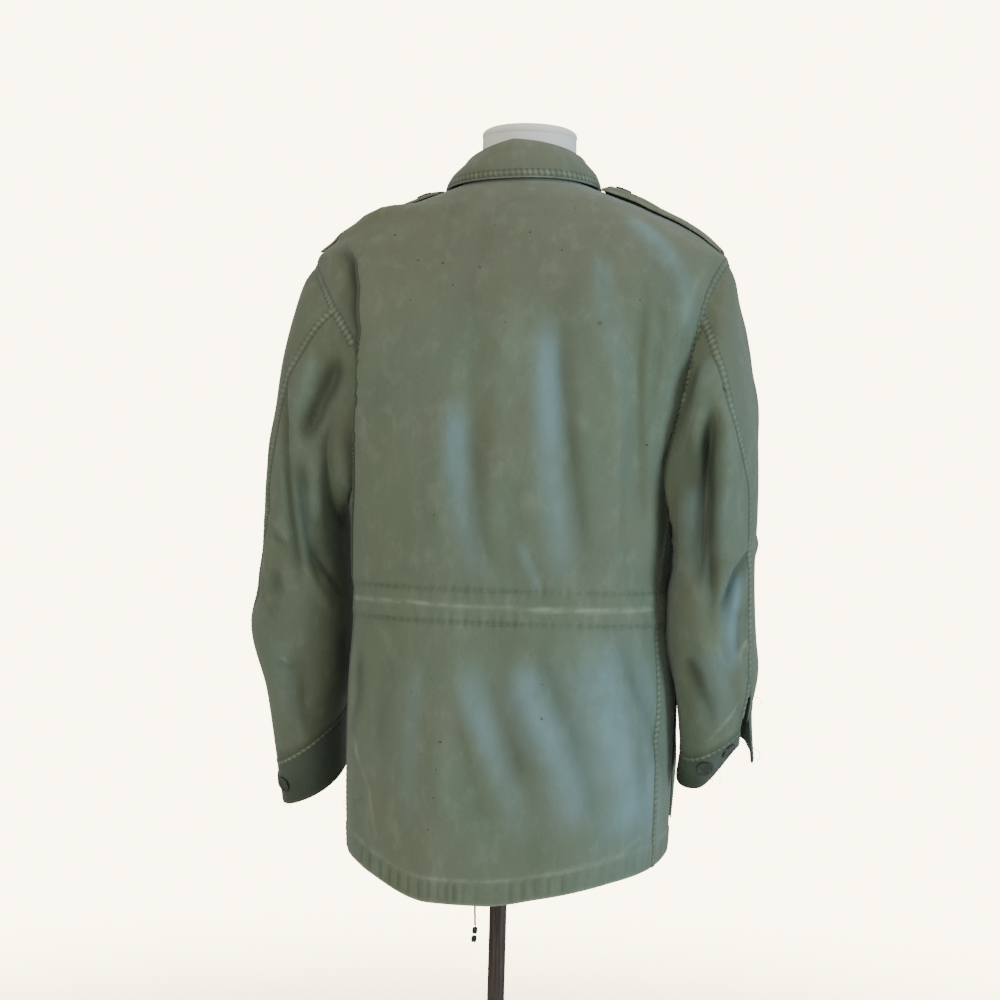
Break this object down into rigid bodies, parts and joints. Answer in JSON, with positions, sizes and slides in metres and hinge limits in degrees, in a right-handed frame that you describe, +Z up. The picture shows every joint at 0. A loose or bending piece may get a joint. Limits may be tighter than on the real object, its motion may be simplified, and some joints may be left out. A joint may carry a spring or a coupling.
{
  "type": "field jacket on a dress form stand",
  "caption": "Olive military-cut cotton field jacket with turned-down collar, shoulder straps, drawcord waist and flap pockets, worn by a limbless dress form on a wooden pole stand.",
  "frame": {"origin": "centre of the stand's round foot, on the surface that it rests on, on the pole's axis", "axes": "+Z up along the pole, -Y the way the jacket's front faces, +X towards the wearer's left"},
  "size_m": [0.5687, 0.39, 1.4678],
  "materials": {
    "cloth": "matt washed cotton sateen, olive, with a faint sheen on the ridges",
    "button": "dark green, slightly worn",
    "cord": "braided, matt",
    "form": "white, tightly covered, matt",
    "wood": "dark stained, satin"
  },
  "bodies": {
    "root": {"back": "cloth", "front_left": "cloth", "front_right": "cloth", "sleeve_left_under": "cloth", "sleeve_left_top": "cloth", "cuff_left": "cloth", "sleeve_right_under": "cloth", "sleeve_right_top": "cloth", "cuff_right": "cloth", "collar": "cloth", "epaulette_left": "cloth", "epaulette_right": "cloth", "fly_placket": "cloth", "chest_pocket_left": "cloth", "chest_pocket_left_flap": "cloth", "chest_pocket_right": "cloth", "chest_pocket_right_flap": "cloth", "hip_pocket_left": "cloth", "hip_pocket_left_flap": "cloth", "hip_pocket_right": "cloth", "hip_pocket_right_flap": "cloth", "cuff_button_left_1": "button", "cuff_button_left_2": "button", "cuff_button_right_1": "button", "cuff_button_right_2": "button", "epaulette_left_button": "button", "epaulette_right_button": "button", "hem_drawcord": "cord", "drawcord_knot_1": "cord", "drawcord_knot_2": "cord", "form_torso": "form", "form_neck_cap": "form", "stand_foot": "wood", "stand_boss": "wood", "stand_plate": "wood", "stand_pole": "wood"}
  },
  "joints": []
}
